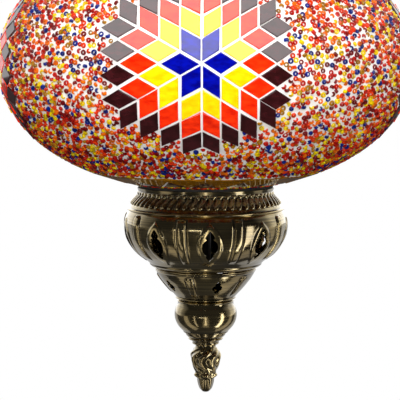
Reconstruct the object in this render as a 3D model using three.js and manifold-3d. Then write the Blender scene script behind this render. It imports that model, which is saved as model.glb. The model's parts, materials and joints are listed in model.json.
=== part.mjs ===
// Hanging mosaic glass lamp: a squat glass globe covered in beads and tiles, clamped between two
// brass stacks on a steel yoke, and hung from a ceiling canopy on a short chain.
// Millimetres, +Z up. The origin is on the ceiling, at the middle of the ceiling plate.
import * as THREE from 'three';
import { mergeVertices } from 'three/addons/utils/BufferGeometryUtils.js';
import Module from 'manifold-3d';

const wasm = await Module();
wasm.setup();

// Running gap between pieces that touch
const GAP = 0.3;

// Globe: half-axes of the mosaic's outer surface, and how square its outline is (2 is an ellipse)
const GLOBE_RADIUS = 150;
const GLOBE_HALF_HEIGHT = 92.5;
const GLOBE_POWER = 2.1;
const MOSAIC_THICKNESS = 2.5;
const GLASS_THICKNESS = 3;
const GLASS_MOUTH_RADIUS = 42;
const BAND_INNER_RADIUS = 50.5;
const BAND_OUTER_RADIUS = 88;

// Medallions: half size of the tiled hexagon, seen square on
const MEDALLION_HALF_WIDTH = 70;
const MEDALLION_HALF_HEIGHT = 66;
const GLOBE_SEGMENTS = 28;

// Brass stack: wall, centre hole, and outlines as [radius, distance from the globe's equator]
const BRASS_WALL = 1.2;
const STACK_HOLE_RADIUS = 5.4;
const COLLAR_RADIUS = 39.5;
const COLLAR_TIP = 82;
const GALLERY_FACE = 89.7;
const GALLERY_OUTLINE = [[50.2, GALLERY_FACE], [49.3, 94], [52.6, 98.3], [55.3, 102.7], [56.8, 106]];
const BOWL_OUTLINE = [[56.9, 106.3], [59.2, 116.2], [57.4, 127], [50, 137.7], [37.4, 148.2]];
const CUP_OUTLINE = [[36.8, 148.6], [33.8, 156], [27.5, 163.9], [20.9, 172.4]];
const BALL_OUTLINE = [[20.6, 172.8], [22.9, 181], [22.4, 188], [17.5, 195.5], [12.7, 200.6]];
const STACK_END = 201;

// Pierced lantern-shaped holes: number round the piece, width, height and middle
const BOWL_HOLES = { count: 9, width: 11.3, height: 22.6, middle: 127, firstDegrees: 3 };
const CUP_HOLES = { count: 5, width: 7.5, height: 9.2, middle: 160.5, firstDegrees: 16 };

// Finial, its collar, and the thread that they share
const FINIAL_COLLAR_TIP = 206;
const FINIAL_OUTLINE = [[7.6, 206.4], [8.7, 209.8], [10.9, 215.3], [10.4, 219], [8.2, 226],
  [7.9, 229.5], [6.4, 231.7], [5.8, 236], [3.9, 240.4], [2.2, 242]];
const FINIAL_TIP = 242.2;
const FINIAL_BORE_END = 224.6;
const STUD_RADIUS = 4;
const STUD_TOP = 70;
const STUD_TIP = 222;

// Hanging parts
const LINK_WIRE_RADIUS = 1.7;
const LINK_INNER_LENGTH = 27;
const LINK_INNER_RADIUS = 6.5;
const LINK_COUNT = 5;
const RING_RADIUS = 11;
const RING_WIRE_RADIUS = 3;
const CANOPY_RING_Z = -64;
const LAMP_RING_HEIGHT = 226;

// Ceiling parts
const CANOPY_OUTLINE = [[60, 0], [60, -6], [57, -14], [46, -28], [36, -36], [24, -42]];
const CANOPY_FLOOR_Z = -42;
const PLATE_RADIUS = 42;
const PLATE_THICKNESS = 2.5;
const NIPPLE_RADIUS = 5;
const NIPPLE_BORE_RADIUS = 3.5;

// Yoke inside the globe, and the lampholder that hangs from it
const YOKE_ROD_X = 33;
const YOKE_ROD_RADIUS = 2.4;
const YOKE_BAR_NEAR = 76;
const YOKE_BAR_THICKNESS = 2.5;
const YOKE_BAR_LENGTH = 78;
const YOKE_BAR_WIDTH = 14;
const HOLDER_RADIUS = 19.5;
const BULB_BASE_RADIUS = 13;
const BULB_RADIUS = 22.5;

const FINISHES = {
  brass: { color: 0x8a7440, roughness: 0.28, metalness: 1 },
  steel: { color: 0xa8a9a6, roughness: 0.4, metalness: 1 },
  clearGlass: { color: 0xdfe8e4, roughness: 0.05, metalness: 0 },
  beads: { color: 0xb23a1c, roughness: 0.15, metalness: 0 },
  tiles: { color: 0x8a1f14, roughness: 0.1, metalness: 0 },
  amberTiles: { color: 0x8a5a10, roughness: 0.1, metalness: 0 },
  rubber: { color: 0x1d1b18, roughness: 0.8, metalness: 0 },
  porcelain: { color: 0xe9e4d8, roughness: 0.3, metalness: 0 },
  whitePlastic: { color: 0xe4e2dc, roughness: 0.5, metalness: 0 },
  bulbGlass: { color: 0xf6f2e6, roughness: 0.3, metalness: 0 },
};

// ---- geometry helpers ----

function signedVolume(positions, corners) {
  const [a, b, c] = [new THREE.Vector3(), new THREE.Vector3(), new THREE.Vector3()];
  let sum = 0;
  for (let i = 0; i < corners.length; i += 3) {
    a.fromArray(positions, corners[i] * 3);
    b.fromArray(positions, corners[i + 1] * 3);
    c.fromArray(positions, corners[i + 2] * 3);
    sum += a.dot(b.cross(c));
  }
  return sum / 6;
}

// Closed solid from a three.js geometry: corners merged, empty triangles dropped, faces outward
function solidOf(geometry) {
  const bare = geometry.clone();
  bare.deleteAttribute('normal');
  bare.deleteAttribute('uv');
  const merged = mergeVertices(bare, 1e-4);
  const positions = merged.attributes.position.array;
  const all = merged.index.array;
  const corners = [];
  for (let i = 0; i < all.length; i += 3) {
    const [a, b, c] = all.slice(i, i + 3);
    if (a !== b && b !== c && c !== a) corners.push(a, b, c);
  }
  if (signedVolume(positions, corners) < 0) corners.reverse();
  const triVerts = new Uint32Array(corners);
  return new wasm.Manifold(new wasm.Mesh({ numProp: 3, vertProperties: positions, triVerts }));
}

function geometryOf(solid) {
  const mesh = solid.getMesh();
  const geometry = new THREE.BufferGeometry();
  geometry.setAttribute('position', new THREE.BufferAttribute(mesh.vertProperties, 3));
  geometry.setIndex(new THREE.BufferAttribute(mesh.triVerts, 1));
  return geometry;
}

// Turned solid about Z from [radius, z] points; an outline off the axis is closed on itself
function turned(outline, segments) {
  const points = outline.map(([radius, z]) => new THREE.Vector2(radius, z));
  if (points[0].x > 0 || points.at(-1).x > 0) points.push(points[0].clone());
  return solidOf(new THREE.LatheGeometry(points, segments).rotateX(Math.PI / 2));
}

// Extruded solid of a closed outline in X and Y, from z = low to z = high
function extruded(outline, low, high) {
  const shape = new THREE.Shape(outline.map(([x, y]) => new THREE.Vector2(x, y)));
  const settings = { depth: high - low, bevelEnabled: false };
  return solidOf(new THREE.ExtrudeGeometry(shape, settings).translate(0, 0, low));
}

function regularOutline(sides, radius, x = 0, y = 0) {
  const corner = (k) => 2 * Math.PI * k / sides;
  return Array.from({ length: sides },
    (_, k) => [x + radius * Math.cos(corner(k)), y + radius * Math.sin(corner(k))]);
}

function rectangle(width, depth, x = 0, y = 0) {
  const [u, v] = [width / 2, depth / 2];
  return [[x - u, y - v], [x + u, y - v], [x + u, y + v], [x - u, y + v]];
}

function turn(solid, degreesX, degreesY, degreesZ) {
  return solid.rotate([degreesX, degreesY, degreesZ]);
}

// The same solid above the equator (up = 1) or below it (up = -1)
function onSide(solid, up) {
  return up > 0 ? solid : solidOf(geometryOf(solid).scale(1, 1, -1));
}

// Outline moved inwards by a wall, at right angles to itself
function inset(outline, wall) {
  return outline.map(([radius, height], i) => {
    const before = outline[Math.max(i - 1, 0)];
    const after = outline[Math.min(i + 1, outline.length - 1)];
    const along = new THREE.Vector2(after[0] - before[0], after[1] - before[1]).normalize();
    return [radius - wall * along.y, height + wall * along.x];
  });
}

// ---- globe and mosaic ----

// Point of the globe's outline moved in by depth: [radius, z] at the angle t above the equator
function globePoint(t, depth) {
  const bend = 2 / GLOBE_POWER;
  const radius = (GLOBE_RADIUS - depth) * Math.cos(t) ** bend;
  const height = (GLOBE_HALF_HEIGHT - depth) * Math.abs(Math.sin(t)) ** bend;
  return [radius, Math.sign(t) * height];
}

// Angle above the equator at which the globe's outer surface has this radius
function angleAtRadius(radius) {
  return Math.acos((radius / GLOBE_RADIUS) ** (GLOBE_POWER / 2));
}

function anglesBetween(from, to, steps) {
  return Array.from({ length: steps + 1 }, (_, k) => from + (to - from) * k / steps);
}

// Every layer of the globe is faceted at the same angles, so that layers lie evenly on each other
const FIELD_ANGLE = angleAtRadius(BAND_OUTER_RADIUS);
const BAND_ANGLE = angleAtRadius(BAND_INNER_RADIUS);
const MOUTH_ANGLE = angleAtRadius(GLASS_MOUTH_RADIUS);
const FIELD_ANGLES = anglesBetween(-FIELD_ANGLE, FIELD_ANGLE, 6);
const BAND_ANGLES = anglesBetween(FIELD_ANGLE, BAND_ANGLE, 1);

function globeLayer(angles, outerDepth, innerDepth) {
  const outer = angles.map((t) => globePoint(t, outerDepth));
  const inner = angles.map((t) => globePoint(t, innerDepth));
  return turned([...outer, ...inner.reverse()], GLOBE_SEGMENTS);
}

function medallionOutline(margin) {
  const cornerSpread = 22;
  const corners = [];
  for (let side = 0; side < 6; side += 1) {
    for (const offset of [-cornerSpread, cornerSpread]) {
      const angle = (60 * side + offset) * Math.PI / 180;
      corners.push([(MEDALLION_HALF_WIDTH - margin) * Math.cos(angle),
        (MEDALLION_HALF_HEIGHT - margin) * Math.sin(angle)]);
    }
  }
  return corners;
}

// Prism along -Y through the front of the globe, turned about Z to the side wanted
function medallionPrism(margin, degrees) {
  const [near, far] = [60, GLOBE_RADIUS + 10];
  const prism = extruded(medallionOutline(margin), near, far);
  return turn(turn(prism, 90, 0, 0), 0, 0, degrees);
}

const MEDALLION_SIDES = { front: -1, right: 92, back: 183, left: 274 };

const mosaicSkin = () => globeLayer(FIELD_ANGLES, 0, MOSAIC_THICKNESS);

function beadField() {
  let field = mosaicSkin();
  for (const degrees of Object.values(MEDALLION_SIDES)) {
    field = field.subtract(medallionPrism(0, degrees));
  }
  return field;
}

function medallion(degrees) {
  return mosaicSkin().intersect(medallionPrism(GAP, degrees));
}

function collarBand(up) {
  const band = globeLayer(BAND_ANGLES, 0, MOSAIC_THICKNESS);
  return onSide(band.translate([0, 0, GAP]), up);
}

function glassGlobe() {
  const above = [...BAND_ANGLES.slice(1), MOUTH_ANGLE];
  const below = above.map((t) => -t).reverse();
  const outerDepth = MOSAIC_THICKNESS + GAP;
  return globeLayer([...below, ...FIELD_ANGLES, ...above], outerDepth, outerDepth + GLASS_THICKNESS);
}

// ---- brass stack, made above the equator and mirrored for the lower one ----

// Lantern outline: pointed at both ends and widest across the middle
function lanternOutline(width, height) {
  const right = [[0, 0.5], [0.3, 0.27], [0.5, 0], [0.3, -0.27], [0, -0.5]];
  const left = right.slice(1, -1).map(([x, y]) => [-x, y]).reverse();
  return [...right, ...left].map(([x, y]) => [x * width, y * height]);
}

function pierced(solid, holes, depth) {
  let result = solid;
  const cutter = turn(extruded(lanternOutline(holes.width, holes.height), 6, depth), 90, 0, 0)
    .translate([0, 0, holes.middle]);
  for (let k = 0; k < holes.count; k += 1) {
    result = result.subtract(turn(cutter, 0, 0, holes.firstDegrees + 360 * k / holes.count));
  }
  return result;
}

// Shell with an open mouth at the outline's first point and a floor with a centre hole at its last
function stackShell(outline, segments) {
  const end = outline.at(-1)[1];
  const inner = inset(outline, BRASS_WALL).slice(0, -1);
  inner[0] = [inner[0][0], outline[0][1]];
  const innerFloor = end - BRASS_WALL;
  const profile = [...outline, [STACK_HOLE_RADIUS, end], [STACK_HOLE_RADIUS, innerFloor],
    [outline.at(-1)[0] - BRASS_WALL, innerFloor], ...inner.reverse()];
  return turned(profile, segments);
}

function gallery(up) {
  const wall = GALLERY_OUTLINE.slice(1);
  const inner = inset(GALLERY_OUTLINE, BRASS_WALL).slice(1);
  inner[inner.length - 1][1] = wall.at(-1)[1];
  const flange = GALLERY_FACE + BRASS_WALL;
  const bore = COLLAR_RADIUS - BRASS_WALL;
  const profile = [[bore, COLLAR_TIP], [COLLAR_RADIUS, COLLAR_TIP], [COLLAR_RADIUS, GALLERY_FACE],
    GALLERY_OUTLINE[0], ...wall, ...inner.reverse(),
    [GALLERY_OUTLINE[0][0] - BRASS_WALL, flange], [bore, flange]];
  return onSide(turned(profile, 20), up);
}

function seal(up) {
  const [low, high] = [87, GALLERY_FACE - GAP];
  return onSide(turned([[41.5, low], [49.5, low], [49.5, high], [41.5, high]], 20), up);
}

const bowl = (up) => onSide(pierced(stackShell(BOWL_OUTLINE, 27), BOWL_HOLES, 70), up);
const cup = (up) => onSide(pierced(stackShell(CUP_OUTLINE, 20), CUP_HOLES, 45), up);
const ball = (up) => onSide(stackShell(BALL_OUTLINE, 16), up);

function finialCollar() {
  const bore = STUD_RADIUS + GAP;
  const outline = [[bore, STACK_END], [12.4, STACK_END], [12.4, STACK_END + 1.6],
    [9.8, FINIAL_COLLAR_TIP], [bore, FINIAL_COLLAR_TIP]];
  return onSide(turned(outline, 16), -1);
}

function finial() {
  const bore = STUD_RADIUS + GAP;
  const mouth = FINIAL_OUTLINE[0][1];
  const outline = [[0, FINIAL_BORE_END], [bore, FINIAL_BORE_END], [bore, mouth],
    ...FINIAL_OUTLINE, [0, FINIAL_TIP]];
  return onSide(turned(outline, 12), -1);
}

// ---- hanging parts ----

// Ring in the XZ plane, about the origin
function hangingRing() {
  return solidOf(new THREE.TorusGeometry(RING_RADIUS, RING_WIRE_RADIUS, 8, 16).rotateX(Math.PI / 2));
}

// Oval link in the XZ plane: a wire ring pulled apart at its middle, or in the YZ plane if crosswise
function chainLink(crosswise) {
  const [sides, steps] = [6, 18];
  const half = LINK_INNER_LENGTH / 2 - LINK_INNER_RADIUS;
  const ring = new THREE.TorusGeometry(LINK_INNER_RADIUS + LINK_WIRE_RADIUS, LINK_WIRE_RADIUS, sides,
    steps).rotateZ(Math.PI / steps);
  const position = ring.attributes.position;
  for (let i = 0; i < position.count; i += 1) {
    position.setY(i, position.getY(i) + half * Math.sign(position.getY(i)));
  }
  return solidOf(ring.rotateX(Math.PI / 2).rotateZ(crosswise ? Math.PI / 2 : 0));
}

const CANOPY_BOSS = { padRadius: 12, padHeight: 4, waistRadius: 8, waistDepth: 8, tipRadius: 6,
  height: 11 };

function canopyLoop() {
  const top = CANOPY_FLOOR_Z - GAP;
  const [waist, tip] = [top - CANOPY_BOSS.waistDepth, top - CANOPY_BOSS.height];
  const bore = NIPPLE_RADIUS + GAP;
  const boss = turned([[0, waist], [bore, waist], [bore, top], [CANOPY_BOSS.padRadius, top],
    [CANOPY_BOSS.padRadius, top - CANOPY_BOSS.padHeight], [CANOPY_BOSS.waistRadius, waist],
    [CANOPY_BOSS.tipRadius, tip], [0, tip]], 16);
  return boss.add(hangingRing().translate([0, 0, CANOPY_RING_Z]));
}

// Loop with a wireway: the cable drops through the foot of its ring into the nipple
function lampLoop() {
  const wirewayTop = LAMP_RING_HEIGHT - RING_RADIUS + RING_WIRE_RADIUS + 1;
  const [padRadius, padHeight, shoulderRadius, shoulderTop] = [12.4, 2, 9.8, 206];
  const [neckRadius, neckFoot, threadEnd] = [7.5, 209, 211];
  const boss = turned([[0, STACK_END], [padRadius, STACK_END], [padRadius, STACK_END + padHeight],
    [shoulderRadius, shoulderTop], [neckRadius, neckFoot], [neckRadius, wirewayTop],
    [0, wirewayTop]], 16);
  const [boreLow, threadRadius] = [STACK_END - 1, NIPPLE_RADIUS + GAP];
  const bore = turned([[0, boreLow], [threadRadius, boreLow], [threadRadius, threadEnd],
    [NIPPLE_BORE_RADIUS, threadEnd], [NIPPLE_BORE_RADIUS, LAMP_RING_HEIGHT],
    [0, LAMP_RING_HEIGHT]], 12);
  return boss.add(hangingRing().translate([0, 0, LAMP_RING_HEIGHT])).subtract(bore);
}

// ---- ceiling parts ----

function ceilingPlate() {
  const [bossRadius, bossEnd, boreTop] = [9, -12, -3.5];
  const bore = NIPPLE_RADIUS + GAP;
  let plate = turned([[0, 0], [PLATE_RADIUS, 0], [PLATE_RADIUS, -PLATE_THICKNESS],
    [bossRadius, -PLATE_THICKNESS], [bossRadius, bossEnd], [bore, bossEnd], [bore, boreTop],
    [0, boreTop]], 24);
  const cutHeight = 8;
  const cableHole = { radius: 6, x: 24 };
  const screwSlot = { length: 12, width: 5, y: 30 };
  const hole = regularOutline(12, cableHole.radius, cableHole.x, 0);
  plate = plate.subtract(extruded(hole, -cutHeight, cutHeight));
  for (const y of [-screwSlot.y, screwSlot.y]) {
    const slot = rectangle(screwSlot.length, screwSlot.width, 0, y);
    plate = plate.subtract(extruded(slot, -cutHeight, cutHeight));
  }
  return plate;
}

const BUSH = { x: 17.8, holeRadius: 4.4, bodyRadius: 4.1, boreRadius: 3.2, flangeRadius: 5.4 };

function canopy() {
  const inner = inset(CANOPY_OUTLINE.map(([radius, z]) => [radius, -z]), BRASS_WALL)
    .map(([radius, depth]) => [radius, -depth]);
  inner[0] = [inner[0][0], 0];
  const floor = CANOPY_FLOOR_Z + BRASS_WALL;
  inner[inner.length - 1] = [inner.at(-1)[0], floor];
  const hole = NIPPLE_RADIUS + GAP;
  const shell = turned([...CANOPY_OUTLINE, [hole, CANOPY_FLOOR_Z], [hole, floor],
    ...inner.reverse()], 24);
  const [cutLow, cutHigh] = [CANOPY_FLOOR_Z - 8, CANOPY_FLOOR_Z + 12];
  const bushHole = extruded(regularOutline(12, BUSH.holeRadius, BUSH.x, 0), cutLow, cutHigh);
  return shell.subtract(bushHole);
}

function cordBush() {
  const [low, high] = [CANOPY_FLOOR_Z - GAP, CANOPY_FLOOR_Z + BRASS_WALL + GAP];
  const flange = 1.5;
  return turned([[BUSH.boreRadius, low - flange], [BUSH.flangeRadius, low - flange],
    [BUSH.flangeRadius, low], [BUSH.bodyRadius, low], [BUSH.bodyRadius, high],
    [BUSH.flangeRadius, high], [BUSH.flangeRadius, high + flange],
    [BUSH.boreRadius, high + flange]], 12).translate([BUSH.x, 0, 0]);
}

function terminalBlock() {
  const [x, width, depth, top, bottom] = [-24, 14, 26, -PLATE_THICKNESS - GAP, -14];
  const [wayPitch, wayRadius] = [8, 2];
  let block = extruded(rectangle(width, depth, x, 0), bottom, top);
  for (const y of [-wayPitch, 0, wayPitch]) {
    const way = turn(extruded(regularOutline(8, wayRadius), -width, width), 0, 90, 0);
    block = block.subtract(way.translate([x, y, (top + bottom) / 2]));
  }
  return block;
}

// ---- fasteners and rods ----

function rod(radius, low, high, sides = 12) {
  return turned([[0, low], [radius, low], [radius, high], [0, high]], sides);
}

function tube(radius, bore, low, high, sides = 16) {
  return turned([[bore, low], [radius, low], [radius, high], [bore, high]], sides);
}

function hexNut(acrossCorners, bore, low, high) {
  const blank = extruded(regularOutline(6, acrossCorners / 2), low, high);
  return blank.subtract(extruded(regularOutline(12, bore), low - 1, high + 1));
}

// ---- yoke and lampholder ----

function yokeBar(centreHole, up) {
  const far = YOKE_BAR_NEAR + YOKE_BAR_THICKNESS;
  let bar = extruded(rectangle(YOKE_BAR_LENGTH, YOKE_BAR_WIDTH), YOKE_BAR_NEAR, far);
  const rodHole = YOKE_ROD_RADIUS + GAP;
  for (const [x, radius] of [[0, centreHole], [YOKE_ROD_X, rodHole], [-YOKE_ROD_X, rodHole]]) {
    bar = bar.subtract(extruded(regularOutline(12, radius, x, 0), YOKE_BAR_NEAR - 1, far + 1));
  }
  return onSide(bar, up);
}

function yokeNut(side, up) {
  const low = YOKE_BAR_NEAR + YOKE_BAR_THICKNESS + GAP;
  const [acrossCorners, height] = [9.2, 3.2];
  const nut = hexNut(acrossCorners, YOKE_ROD_RADIUS + GAP, low, low + height);
  return onSide(nut.translate([side * YOKE_ROD_X, 0, 0]), up);
}

// Outlines of the cap outside its threaded neck, and of the bulb's parts, as [radius, height]
const HOLDER_CAP_OUTLINE = [[8, 75.6], [8, 68], [14, 65.5], [18.5, 60], [HOLDER_RADIUS, 54],
  [HOLDER_RADIUS, 50.3], [18, 50.3], [18, 54], [17, 59.4], [13, 64], [8, 66]];
const BULB_BASE_OUTLINE = [[4, 48], [8, 48], [BULB_BASE_RADIUS, 44], [BULB_BASE_RADIUS, 22],
  [12, 22], [12, 43], [7.5, 46.8], [4, 46.8]];
const BULB_CONTACT_OUTLINE = [[0, 48.3], [5, 48.3], [4, 50.2], [0, 50.6]];
const BULB_GLASS_OUTLINE = [[11.6, 26], [11.6, 20], [18, 8], [BULB_RADIUS, -9], [18, -24],
  [0, -32.6]];
const HOLDER_SHELL = { bore: 17.5, low: 20, high: 50 };
const HOLDER_RING = { radius: 23, low: 26, high: 32 };
const HOLDER_INSERT = { radius: 17.2, low: 22, seat: 51, high: 53.5 };

function holderCap() {
  const [bore, neckLow, neckHigh] = [NIPPLE_RADIUS + GAP, 66, 75.6];
  return turned([[bore, neckLow], [bore, neckHigh], ...HOLDER_CAP_OUTLINE], 14);
}

function holderShell() {
  return tube(HOLDER_RADIUS, HOLDER_SHELL.bore, HOLDER_SHELL.low, HOLDER_SHELL.high);
}

function holderRing() {
  return tube(HOLDER_RING.radius, HOLDER_RADIUS + 2 * GAP, HOLDER_RING.low, HOLDER_RING.high);
}

// Porcelain insert: a thread sleeve closed at its top, where the centre contact sits
function holderInsert() {
  const { radius, low, seat, high } = HOLDER_INSERT;
  const bore = BULB_BASE_RADIUS + 0.5;
  return turned([[0, seat], [bore, seat], [bore, low], [radius, low], [radius, high], [0, high]], 16);
}

const bulbBase = () => turned(BULB_BASE_OUTLINE, 12);
const bulbContact = () => turned(BULB_CONTACT_OUTLINE, 12);

function bulbGlass() {
  const wall = 1;
  const inner = BULB_GLASS_OUTLINE.map(([radius, z]) => [Math.max(radius - wall, 0),
    z < 0 ? z + wall : z]);
  return turned([...BULB_GLASS_OUTLINE, ...inner.reverse(), BULB_GLASS_OUTLINE[0]], 12);
}

// ---- assembly ----

function part(name, solid, finish) {
  const mesh = new THREE.Mesh(geometryOf(solid), new THREE.MeshStandardMaterial(FINISHES[finish]));
  mesh.name = name;
  return mesh;
}

const group = new THREE.Group();
const nippleHole = NIPPLE_RADIUS + GAP;

// Heights of the fasteners: from the ceiling at the canopy, from the equator in the lamp
const CANOPY_STUD = { low: -49.5, high: -3.8 };
const CANOPY_WASHER = { radius: 11, low: -40.5, high: -39 };
const CANOPY_NUT = { low: -38.7, high: -33.2 };
const TOP_NIPPLE = { low: 66.5, high: 210.7 };
const NIPPLE_NUT = { low: 78.8, high: 84 };
const STUD_NUT = { low: -75.7, high: -71 };
const NIPPLE_NUT_CORNERS = 18;
const STUD_NUT_CORNERS = 15;
const YOKE_ROD_END = 83;

group.add(
  part('ceiling_plate', ceilingPlate(), 'steel'),
  part('canopy_stud', rod(NIPPLE_RADIUS, CANOPY_STUD.low, CANOPY_STUD.high), 'steel'),
  part('canopy', canopy(), 'brass'),
  part('canopy_washer',
    tube(CANOPY_WASHER.radius, nippleHole, CANOPY_WASHER.low, CANOPY_WASHER.high), 'steel'),
  part('canopy_nut',
    hexNut(NIPPLE_NUT_CORNERS, nippleHole, CANOPY_NUT.low, CANOPY_NUT.high), 'steel'),
  part('canopy_loop', canopyLoop(), 'brass'),
  part('canopy_cord_bush', cordBush(), 'brass'),
  part('terminal_block', terminalBlock(), 'whitePlastic'),
);

// Each link's inside end rests on the wire that it hangs from
const firstLinkZ = CANOPY_RING_Z - RING_RADIUS + RING_WIRE_RADIUS + GAP - LINK_INNER_LENGTH / 2;
const linkPitch = LINK_INNER_LENGTH - GAP;
for (let k = 0; k < LINK_COUNT; k += 1) {
  const link = part(`chain_link_${k + 1}`, chainLink(k % 2 === 0), 'brass');
  link.position.z = firstLinkZ - linkPitch * k;
  group.add(link);
}

// Everything below the chain is placed from the globe's equator
const lastLinkZ = firstLinkZ - linkPitch * (LINK_COUNT - 1);
const lampRingZ = lastLinkZ - LINK_INNER_LENGTH / 2 + GAP - RING_RADIUS + RING_WIRE_RADIUS;
const lamp = new THREE.Group();
lamp.position.z = lampRingZ - LAMP_RING_HEIGHT;
group.add(lamp);

lamp.add(
  part('lamp_loop', lampLoop(), 'brass'),
  part('top_nipple',
    tube(NIPPLE_RADIUS, NIPPLE_BORE_RADIUS, TOP_NIPPLE.low, TOP_NIPPLE.high, 12), 'steel'),
  part('upper_ball', ball(1), 'brass'),
  part('upper_cup', cup(1), 'brass'),
  part('upper_bowl', bowl(1), 'brass'),
  part('upper_gallery', gallery(1), 'brass'),
  part('upper_seal', seal(1), 'rubber'),
  part('glass_globe', glassGlobe(), 'clearGlass'),
  part('bead_field', beadField(), 'beads'),
  part('collar_band_top', collarBand(1), 'amberTiles'),
  part('collar_band_bottom', collarBand(-1), 'amberTiles'),
  part('lower_seal', seal(-1), 'rubber'),
  part('lower_gallery', gallery(-1), 'brass'),
  part('lower_bowl', bowl(-1), 'brass'),
  part('lower_cup', cup(-1), 'brass'),
  part('lower_ball', ball(-1), 'brass'),
  part('finial_collar', finialCollar(), 'brass'),
  part('finial', finial(), 'brass'),
);

for (const [side, degrees] of Object.entries(MEDALLION_SIDES)) {
  lamp.add(part(`medallion_${side}`, medallion(degrees), 'tiles'));
}

lamp.add(
  part('yoke_top_bar', yokeBar(nippleHole, 1), 'steel'),
  part('yoke_bottom_bar', yokeBar(STUD_RADIUS + GAP, -1), 'steel'),
  part('nipple_nut',
    hexNut(NIPPLE_NUT_CORNERS, nippleHole, NIPPLE_NUT.low, NIPPLE_NUT.high), 'steel'),
  part('centre_stud', rod(STUD_RADIUS, -STUD_TIP, -STUD_TOP), 'steel'),
  part('stud_nut',
    hexNut(STUD_NUT_CORNERS, STUD_RADIUS + GAP, STUD_NUT.low, STUD_NUT.high), 'steel'),
  part('lampholder_cap', holderCap(), 'brass'),
  part('lampholder_shell', holderShell(), 'brass'),
  part('lampholder_ring', holderRing(), 'brass'),
  part('lampholder_insert', holderInsert(), 'porcelain'),
  part('bulb_contact', bulbContact(), 'steel'),
  part('bulb_base', bulbBase(), 'steel'),
  part('bulb_glass', bulbGlass(), 'bulbGlass'),
);

for (const [name, side] of [['left', -1], ['right', 1]]) {
  const yokeRod = part(`yoke_rod_${name}`, rod(YOKE_ROD_RADIUS, -YOKE_ROD_END, YOKE_ROD_END, 8),
    'steel');
  yokeRod.position.x = side * YOKE_ROD_X;
  lamp.add(yokeRod);
  lamp.add(part(`yoke_nut_top_${name}`, yokeNut(side, 1), 'steel'));
  lamp.add(part(`yoke_nut_bottom_${name}`, yokeNut(side, -1), 'steel'));
}

export default group;
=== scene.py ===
# Looks of the hanging mosaic glass lamp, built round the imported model. Metres, +Z up, front at -Y.
import json
import math

import bmesh
import bpy
import numpy as np
from mathutils import Matrix, Vector


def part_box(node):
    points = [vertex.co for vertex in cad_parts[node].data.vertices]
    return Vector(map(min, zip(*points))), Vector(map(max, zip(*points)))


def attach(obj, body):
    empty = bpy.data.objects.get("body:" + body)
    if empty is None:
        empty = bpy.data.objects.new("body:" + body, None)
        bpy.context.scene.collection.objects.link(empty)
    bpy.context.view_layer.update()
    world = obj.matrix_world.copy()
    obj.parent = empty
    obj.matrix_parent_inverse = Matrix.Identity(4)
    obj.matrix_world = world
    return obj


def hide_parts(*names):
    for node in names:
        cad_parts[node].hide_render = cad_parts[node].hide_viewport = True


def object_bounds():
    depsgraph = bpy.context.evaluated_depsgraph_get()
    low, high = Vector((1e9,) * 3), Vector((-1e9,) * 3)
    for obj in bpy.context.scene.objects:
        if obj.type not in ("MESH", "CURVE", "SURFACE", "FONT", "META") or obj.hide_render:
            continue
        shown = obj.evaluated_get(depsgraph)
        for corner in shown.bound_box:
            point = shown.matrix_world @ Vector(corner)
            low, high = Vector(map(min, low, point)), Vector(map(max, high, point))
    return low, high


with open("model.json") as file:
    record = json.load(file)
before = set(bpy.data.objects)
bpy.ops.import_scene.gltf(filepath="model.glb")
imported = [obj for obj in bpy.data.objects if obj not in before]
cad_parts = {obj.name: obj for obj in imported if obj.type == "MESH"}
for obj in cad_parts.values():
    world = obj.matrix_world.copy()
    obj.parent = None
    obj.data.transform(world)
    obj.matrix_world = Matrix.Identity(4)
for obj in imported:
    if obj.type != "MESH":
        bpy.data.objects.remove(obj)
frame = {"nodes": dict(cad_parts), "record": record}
cad_low, cad_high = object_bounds()
SEED = 11
dice = np.random.default_rng(SEED)

MM = 0.001

# ---- driving sizes, from the frame ----

field_low, field_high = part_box("bead_field")
GLOBE_RADIUS = (cad_high.x - cad_low.x) / 2
NOMINAL_HALF_HEIGHT, NOMINAL_RADIUS = 92.5, 150
GLOBE_HALF_HEIGHT = GLOBE_RADIUS * NOMINAL_HALF_HEIGHT / NOMINAL_RADIUS
GLOBE_POWER = 2.1
EQUATOR_Z = (field_low.z + field_high.z) / 2

# Depths below the outer surface of the mosaic
GROUND_DEPTH = 1.75 * MM
TILED_GROUND_DEPTH = 0.95 * MM
GROUND_BACK_DEPTH = 2.5 * MM
GLASS_DEPTH = 2.8 * MM
GLASS_THICKNESS = 3 * MM
GROUND_UNEVENNESS = 0.12 * MM

# Radii at which the bead field, the collar band's two rings and the mosaic end
FIELD_EDGE_RADIUS = 83.5 * MM
ZIGZAG_OUTER_RADIUS = 76 * MM
ZIGZAG_INNER_RADIUS = 60 * MM
MOSAIC_EDGE_RADIUS = 50.8 * MM
GLASS_MOUTH_RADIUS = 42 * MM

# Medallions: pitch of the rhombic tiles, how wide they are laid left and right of the middle, and
# the azimuth of each middle, from the front towards +X
TILE_PITCH = 15.5 * MM
TILE_ROWS = 4
LAID_LEFT, LAID_RIGHT = 1.02, 0.9
MEDALLION_AZIMUTHS = {"front": -1, "right": 92, "back": 183, "left": 274}

# Tiles: share of the pitch that a rhombus fills, how deep the plates sit, their tilt in degrees,
# and how far out of place they are laid
TILE_SHARE = 0.885
TILE_SINK = 0.45 * MM
TILE_TILT = 0.8
TILE_LOOSENESS = 0.28 * MM
COLLAR_LOOSENESS = 0.15 * MM

# Beads: diameter and its scatter, least distance between middles, spots tried, and how near they
# come to the medallions, as a share of the tile pitch, and to the collar bands
BEAD_SIZE = 3.75 * MM
BEAD_SIZE_SCATTER = 0.25 * MM
BEAD_SIZE_LIMITS = 3 * MM, 4.3 * MM
BEAD_SPACING = 2.95 * MM
BEAD_TRIES = 230000
BEAD_TILE_MARGIN = 0.085
BEAD_BAND_MARGIN = 1 * MM
BEAD_NECK_MARGIN = 2.6 * MM

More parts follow.
